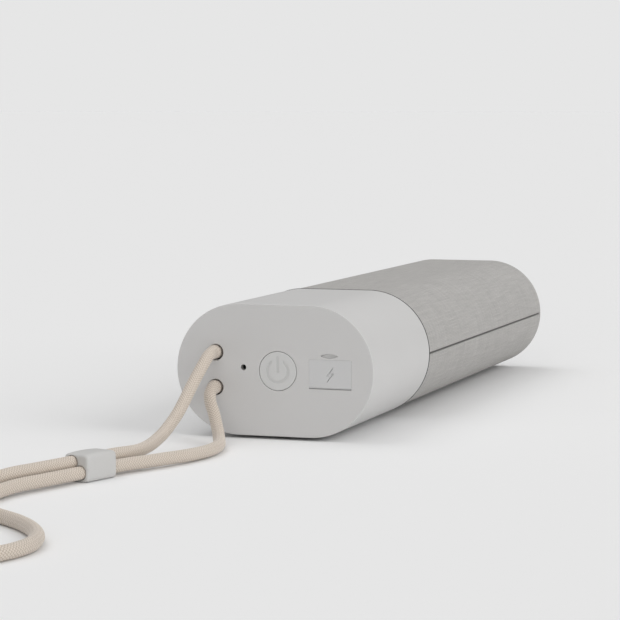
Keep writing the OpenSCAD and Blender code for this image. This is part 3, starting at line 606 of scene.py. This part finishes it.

# %% [markdown]
# ## The fabric sleeve
# A tube of plain-woven cloth is stretched over the grille and closed by one seam along the middle of the
# side. At the cap it turns in to a narrow joint, darkened by a black bead as painted shade, and at the far
# end it folds over the rim. The weave itself is finer than a millimetre, so it belongs in the material; the
# turned edges and the seam are real shape, and the seam's shade is painted into the cloth's colour. The
# sleeve is one closed surface: the racetrack outline, drawn in more or less, carried along a section that
# runs out over the cloth and back along its inside.

# %% The sleeve's outline and section
sleeve_low, sleeve_high = (np.array(v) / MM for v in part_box("fabric_sleeve"))
SLEEVE_W, SLEEVE_H = sleeve_high[0] - sleeve_low[0], sleeve_high[2] - sleeve_low[2]
CLOTH_T = 0.8
FOLD_IN = 3.2


def racetrack(place, width, height):
    """Points and outward directions of a racetrack at distances along it, from the middle of the +X end
    upwards: a half circle at each end and straight runs between them."""
    r, run = height / 2, width - height
    arc = math.pi * r
    place = place % (2 * arc + 2 * run)
    bounds = np.cumsum([0, arc / 2, run, arc, run])
    part = np.clip(np.searchsorted(bounds, place, side="right") - 1, 0, 4)
    ahead = place - bounds[part]
    angle = np.choose(part, [ahead / r, math.pi / 2 + 0 * ahead, math.pi / 2 + ahead / r,
                             1.5 * math.pi + 0 * ahead, 1.5 * math.pi + ahead / r])
    centre = np.choose(part, [run / 2 + 0 * ahead, run / 2 - ahead, -run / 2 + 0 * ahead,
                              -run / 2 + ahead, run / 2 + 0 * ahead])
    out = np.stack([np.cos(angle), np.sin(angle)], axis=1)
    return np.stack([centre, np.zeros_like(centre)], axis=1) + r * out, out


PERIMETER = math.pi * SLEEVE_H + 2 * (SLEEVE_W - SLEEVE_H)
SEAM_HALF = 0.42
SEAM_DEEP = 0.62
near_seam = np.array([0, 0.1, 0.2, 0.3, 0.42, 0.6, 0.9, 1.3])
places = np.concatenate([near_seam, np.linspace(2, PERIMETER - 2, 300), PERIMETER - near_seam[:0:-1]])
rim, rim_out = racetrack(places, SLEEVE_W, SLEEVE_H)
from_seam = np.minimum(places, PERIMETER - places)
seam_dip = SEAM_DEEP * np.sqrt(np.clip(1 - from_seam / SEAM_HALF, 0, 1))
seam_swell = 0.1 * np.exp(-((from_seam - 0.95) / 0.4) ** 2)


def quarter(radius, steps=6):
    """A quarter circle as distances: from (radius, 0) drawn in to (0, radius) run out."""
    turn = np.linspace(0, math.pi / 2, steps)
    return radius * (1 - np.sin(turn)), radius * (1 - np.cos(turn))


y0, y1 = sleeve_low[1], sleeve_high[1]
lip_in, lip_out = quarter(0.45)
fold_in, fold_out = quarter(1.3)
run = np.arange(y0 + 2, y1 - 2, 1.6)
outer = [np.concatenate([[CLOTH_T], lip_in, np.zeros(len(run)), fold_in[::-1], [FOLD_IN]]),
         np.concatenate([[y0], y0 + lip_out, run, y1 - fold_out[::-1], [y1]])]
inner = [np.array([FOLD_IN, CLOTH_T, CLOTH_T]), np.array([y1 - CLOTH_T, y1 - CLOTH_T, y0 + 0.5])]
section_in, section_y = (np.concatenate(pair) for pair in zip(outer, inner))
print(f"sleeve outline {PERIMETER:.1f} mm round, {len(places)} columns, {len(section_in)} rows")

# %% The sleeve's surface
show = np.concatenate([np.ones(len(outer[0])), np.zeros(len(inner[0]))])
show[0] = 0
show[:len(outer[0])] *= outer[1] < y1 - 2.5
dip = np.clip(section_in[:, None] + show[:, None] * (seam_dip - seam_swell)[None], -0.1, None)
flat = rim[None] - dip[..., None] * rim_out[None]
sleeve_y = np.broadcast_to(section_y[:, None], dip.shape)
sleeve_grid = np.stack([flat[..., 0], sleeve_y, MID_Z + flat[..., 1]], axis=2)
travel = np.concatenate([[0], np.cumsum(np.hypot(np.diff(section_in), np.diff(section_y)))])
sleeve_uv = np.stack(np.meshgrid(np.append(places, PERIMETER), travel), axis=2)
sleeve = grid_object("fabric_cloth", sleeve_grid, np.concatenate([sleeve_uv, sleeve_uv[:1]]), wrap_rows=True)
report(sleeve, "fabric sleeve")
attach(sleeve, "root")
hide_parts("fabric_sleeve")

# %% [markdown]
# ## The dark joint
# Between the cap and the cloth lies a black bead that stands in for the shade in the gap: painted shade,
# made as a thing. It stands a tenth of a millimetre proud of the cap, so that a thin dark line shows all
# round even from low down. It is a round bead carried round the cap's outline.

# %% The painted shade bead
BEAD_R = 0.2
BEAD_PROUD = 0.12
bead_places = np.linspace(0, math.pi * 2 * HALF_H + 4 * (HALF_W - HALF_H), 240, endpoint=False)
bead_rim, bead_out = racetrack(bead_places, 2 * HALF_W, 2 * HALF_H)
turn = np.linspace(-math.pi, math.pi, 12, endpoint=False)
bead_in = BEAD_R - BEAD_PROUD - BEAD_R * np.cos(turn)
bead_y = (SEAM_Y + y0) / 2 + BEAD_R * np.sin(turn)
flat = bead_rim[None] - bead_in[:, None, None] * bead_out[None]
bead_y = np.broadcast_to(bead_y[:, None], flat.shape[:2])
bead = np.stack([flat[..., 0], bead_y, MID_Z + flat[..., 1]], axis=2)
# Painted shade: a black bead stands in for the shade in the gap between the cap and the cloth.
shade_bead = grid_object("painted_shade_bead", bead, wrap_rows=True)
shade_bead.data.materials.append(foot_silicone_and_shade_bead)
report(shade_bead, "seal between the cap and the cloth")
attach(shade_bead, "root")

# %% [markdown]
# ## Woven cloth
# The cloth is a plain weave of melange polyester, threads 0.55 mm apart. Each thread has its own tone, which
# drifts along it, and that gives the faint broken streaks both ways. It reads the sleeve's own UV map, which
# is in millimetres round and along the body, so the threads follow the round sides.


# %% The cloth's material
def woven(name, dark, light, pitch_mm, depth_mm):
    """Thread number and place across it come from u / pitch and v / pitch. Warp and weft are each round
    across, |sin|, and a checker of their numbers says which is on top. Thread tone is noise read at the
    thread's number and a hundredth of the way along it. Within a third of a millimetre of the seam, where u
    comes round to where it began, the colour is darkened as painted shadow, as far as the fold at the far
    end."""
    material, tree, shader = new_material(name, **{"Roughness": 0.85, "IOR": 1.45})
    shader.inputs["Sheen Weight"].default_value = 0.25
    shader.inputs["Sheen Roughness"].default_value = 0.5
    shader.inputs["Sheen Tint"].default_value = linear(light)
    uv = add(tree, "UVMap", uv_map="surface").outputs[0]
    thread = add(tree, "VectorMath", {0: uv, "Scale": 1 / pitch_mm}, operation="SCALE")
    count = add(tree, "SeparateXYZ", {0: thread.outputs[0]})
    cover, tones = [], []
    for axis in (0, 1):
        number = add(tree, "Math", {0: count.outputs[axis]}, operation="FLOOR")
        phase = add(tree, "Math", {0: count.outputs[axis], 1: math.pi}, operation="MULTIPLY")
        wave = add(tree, "Math", {0: phase.outputs[0]}, operation="SINE")
        cover.append(wave)
        drift = add(tree, "Math", {0: count.outputs[1 - axis], 1: 0.02}, operation="MULTIPLY")
        spot = add(tree, "CombineXYZ", {0: number.outputs[0], 1: drift.outputs[0], 2: 40.0 * axis})
        noise = add(tree, "TexNoise", {"Vector": spot.outputs[0], "Scale": 1.7, "Detail": 3.0})
        tones.append(noise.outputs[0])
    sign = add(tree, "Math", {0: cover[0].outputs[0], 1: cover[1].outputs[0]}, operation="MULTIPLY")
    on_top = add(tree, "MapRange", {0: sign.outputs[0], 1: -0.25, 2: 0.25})
    rounds = [add(tree, "Math", {0: c.outputs[0]}, operation="ABSOLUTE").outputs[0] for c in cover]
    height = add(tree, "MixRGB", {0: on_top.outputs[0], 1: rounds[0], 2: rounds[1]})
    tone = add(tree, "MixRGB", {0: on_top.outputs[0], 1: tones[0], 2: tones[1]})
    steep = add(tree, "MapRange", {0: tone.outputs[0], 1: 0.3, 2: 0.7})
    colour = add(tree, "MixRGB", {0: steep.outputs[0], 1: linear(dark), 2: linear(light)})
    shade = add(tree, "MapRange", {0: height.outputs[0], 3: 0.8, 4: 1.05})
    place = add(tree, "SeparateXYZ", {0: uv})
    beside = add(tree, "Math", {0: place.outputs[0], 1: PERIMETER / 2}, operation="PINGPONG")
    # Painted shadow: along the seam's groove the cloth's colour drops to three tenths, up to the fold at the
    # far end.
    seam_painted_shadow = add(tree, "MapRange", {0: beside.outputs[0], 1: 0.24, 2: 0.44, 3: 0.3, 4: 1.0})
    past_end = add(tree, "MapRange", {0: place.outputs[1], 1: y1 - y0 - 2.5, 2: y1 - y0 - 1.5})
    seam = add(tree, "Math", {0: seam_painted_shadow.outputs[0], 1: past_end.outputs[0]}, operation="MAXIMUM")
    shade = add(tree, "Math", {0: shade.outputs[0], 1: seam.outputs[0]}, operation="MULTIPLY")
    base = add(tree, "MixRGB", {0: 1.0, 1: colour.outputs[0], 2: shade.outputs[0]}, blend_type="MULTIPLY")
    bump = add(tree, "Bump", {"Height": height.outputs[0], "Distance": depth_mm * MM, "Strength": 0.5})
    tree.links.new(base.outputs[0], shader.inputs["Base Color"])
    tree.links.new(bump.outputs[0], shader.inputs["Normal"])
    return material


cloth = woven("melange_cloth", "#a3a19f", "#bdbbb8", 0.55, 0.12)
sleeve.data.materials.append(cloth)
print("cloth threads", 0.55, "mm apart")

# %% [markdown]
# ## Braided cord
# The strap's yarns are bulky polyester. The mesh already has their crowns and pits; the material adds the
# fine filaments that run along each yarn, and darkens the pits, where less light gets in. It reads the
# tube's UV map, which counts yarns round and along the cord.


# %% The strap's material
def braided(name, dark, light):
    """The mesh's own u and v count yarns. Their sum and difference are the two yarn directions; the same
    formula as the mesh's decides which yarn shows, and a fine wave across it draws its filaments."""
    material, tree, shader = new_material(name, **{"Roughness": 0.8, "IOR": 1.45})
    shader.inputs["Sheen Weight"].default_value = 0.3
    shader.inputs["Sheen Roughness"].default_value = 0.5
    uv = add(tree, "UVMap", uv_map="surface").outputs[0]
    part = add(tree, "SeparateXYZ", {0: uv})
    u = add(tree, "Math", {0: part.outputs[0], 1: 0.13}, operation="ADD").outputs[0]
    families = [add(tree, "Math", {0: u, 1: part.outputs[1]}, operation=kind).outputs[0]
                for kind in ("ADD", "SUBTRACT")]
    waves = []
    for family in families:
        phase = add(tree, "Math", {0: family, 1: math.pi}, operation="MULTIPLY")
        waves.append(add(tree, "Math", {0: phase.outputs[0]}, operation="SINE").outputs[0])
    sign = add(tree, "Math", {0: waves[0], 1: waves[1]}, operation="MULTIPLY")
    rounds = [add(tree, "Math", {0: w}, operation="ABSOLUTE").outputs[0] for w in waves]
    first_up = add(tree, "MapRange", {0: sign.outputs[0], 1: -0.2, 2: 0.2}).outputs[0]
    height = add(tree, "MixRGB", {0: first_up, 1: rounds[1], 2: rounds[0]}).outputs[0]
    across = add(tree, "MixRGB", {0: first_up, 1: families[1], 2: families[0]}).outputs[0]
    fibre = add(tree, "Math", {0: across, 1: 2 * math.pi * 5}, operation="MULTIPLY")
    fibre = add(tree, "Math", {0: fibre.outputs[0]}, operation="SINE").outputs[0]
    fuzz = add(tree, "TexNoise", {"Vector": uv, "Scale": 3.0, "Detail": 3.0}).outputs[0]
    tone = add(tree, "MapRange", {0: height, 1: 0.1, 2: 0.8})
    colour = add(tree, "MixRGB", {0: tone.outputs[0], 1: linear(dark), 2: linear(light)})
    speck = add(tree, "MapRange", {0: fuzz, 1: 0.3, 2: 0.7, 3: 0.93, 4: 1.06})
    base = add(tree, "MixRGB", {0: 1.0, 1: colour.outputs[0], 2: speck.outputs[0]}, blend_type="MULTIPLY")
    fine = add(tree, "Bump", {"Height": fibre, "Distance": 0.02 * MM, "Strength": 0.4})
    bump = add(tree, "Bump", {"Height": height, "Distance": 0.12 * MM, "Strength": 0.5,
                              "Normal": fine.outputs[0]})
    tree.links.new(base.outputs[0], shader.inputs["Base Color"])
    tree.links.new(bump.outputs[0], shader.inputs["Normal"])
    return material


strap.data.materials.append(braided("braided_polyester", "#a89886", "#dbd0c4"))
slider.data.materials.clear()
slider.data.materials.append(slider_rubber)

# %% [markdown]
# ## What is inside
# The pieces behind the cap and the sleeve are CAD nodes whose shapes are right. Each gets the finish of what
# it is really made of: black and grey mouldings, solder-masked boards, plated steel, brass, wound copper,
# paper and cloth. A moulding, a film or a board uses the same function as the cap; metals and wound copper
# need one of their own.


# %% Metals, films and boards
def metal(name, colour, roughness, scratch_mm=0.15):
    """A bare or plated metal: full metallic, with fine lines in its roughness from how it was rolled or
    turned."""
    material, tree, shader = new_material(name, Metallic=1.0)
    place = add(tree, "TexCoord").outputs["Object"]
    stretched = add(tree, "Mapping", {0: place, "Scale": (1.0, 0.08, 1.0)})
    lines = add(tree, "TexNoise", {"Vector": stretched.outputs[0], "Scale": 1 / (scratch_mm * MM),
                                   "Detail": 3.0})
    stain = add(tree, "TexNoise", {"Vector": place, "Scale": 1 / (6 * MM), "Detail": 2.0})
    base = np.array(linear(colour))
    dull = base * 0.86
    dull[3] = 1
    tone = add(tree, "MixRGB", {0: stain.outputs[0], 1: tuple(base), 2: tuple(dull)})
    rough = add(tree, "MapRange", {0: lines.outputs[0], 3: roughness - 0.1, 4: roughness + 0.1})
    bump = add(tree, "Bump", {"Height": lines.outputs[0], "Distance": 0.01 * MM, "Strength": 0.3})
    tree.links.new(tone.outputs[0], shader.inputs["Base Color"])
    tree.links.new(rough.outputs[0], shader.inputs["Roughness"])
    tree.links.new(bump.outputs[0], shader.inputs["Normal"])
    return material


def wound(name, colour, axis, pitch_mm):
    """Copper wire side by side: a wave of the wire's pitch along one axis, in the height and in the tone. The
    tone is painted shade: it darkens to half in the grooves between wires.
    """
    material, tree, shader = new_material(name, Metallic=1.0, Roughness=0.35)
    place = add(tree, "TexCoord").outputs["Object"]
    part = add(tree, "SeparateXYZ", {0: place}).outputs[axis]
    phase = add(tree, "Math", {0: part, 1: 2 * math.pi / (pitch_mm * MM)}, operation="MULTIPLY")
    wave = add(tree, "Math", {0: phase.outputs[0]}, operation="SINE")
    level = add(tree, "MapRange", {0: wave.outputs[0], 1: -1.0, 2: 1.0})
    base = np.array(linear(colour))
    # Painted shade: the grooves between wires are coloured at half the copper's tone.
    dark = base * 0.5
    dark[3] = 1
    tone = add(tree, "MixRGB", {0: level.outputs[0], 1: tuple(dark), 2: tuple(base)})
    bump = add(tree, "Bump", {"Height": level.outputs[0], "Distance": pitch_mm * MM / 3, "Strength": 0.6})
    tree.links.new(tone.outputs[0], shader.inputs["Base Color"])
    tree.links.new(bump.outputs[0], shader.inputs["Normal"])
    return material


finishes = {
    "black_plastic": moulded("black_abs", "#232324", roughness=0.6, grain_mm=0.4),
    "shell_plastic": moulded("grey_abs", "#55565a", roughness=0.6, grain_mm=0.4),
    "grille_plastic": moulded("grille_abs", "#4a4a4c", roughness=0.65, grain_mm=0.4),
    "seal_rubber": moulded("black_silicone", "#1b1b1b", roughness=0.75, grain_mm=0.3),
    "steel": metal("zinc_plated_steel", "#c9ccd0", 0.3),
    "magnet_steel": metal("plated_magnet_steel", "#8d9196", 0.4, scratch_mm=0.4),
    "brass": metal("turned_brass", "#c79a55", 0.3),
    "radiator_plate": metal("satin_aluminium", "#b9bcc0", 0.35),
    "copper": wound("enamelled_copper", "#c06f35", 0, 0.3),
    "paper_cone": moulded("pressed_paper", "#262628", roughness=0.9, grain_mm=0.6, depth_mm=0.06),
    "spider_cloth": moulded("resin_cotton", "#c08b3c", roughness=0.8, grain_mm=0.35, depth_mm=0.05),
    "cell_wrap": moulded("pvc_wrap", "#2f6ea3", roughness=0.3, grain_mm=2.0, depth_mm=0.01),
    "board_green": moulded("solder_mask", "#1f6b45", roughness=0.35, grain_mm=0.8, depth_mm=0.01),
    "component": moulded("component_epoxy", "#3a3a3d", roughness=0.5, grain_mm=0.3),
    "polyimide": moulded("polyimide_film", "#c9822c", roughness=0.35, grain_mm=0.5, depth_mm=0.005),
    "wire": moulded("pvc_insulation", "#8c2f2c", roughness=0.4, grain_mm=0.5, depth_mm=0.005),
}
slot_of = {part["node"]: part["material_slot"] for part in frame["record"]["subparts"]}
dressed = 0
for name, made in frame["nodes"].items():
    if made.hide_render:
        continue
    for place_in in made.material_slots:
        place_in.material = finishes["black_plastic" if name == "strap_ferrules" else slot_of[name]]
    dressed += 1
print(dressed, "inner pieces dressed with", len(finishes), "finishes")
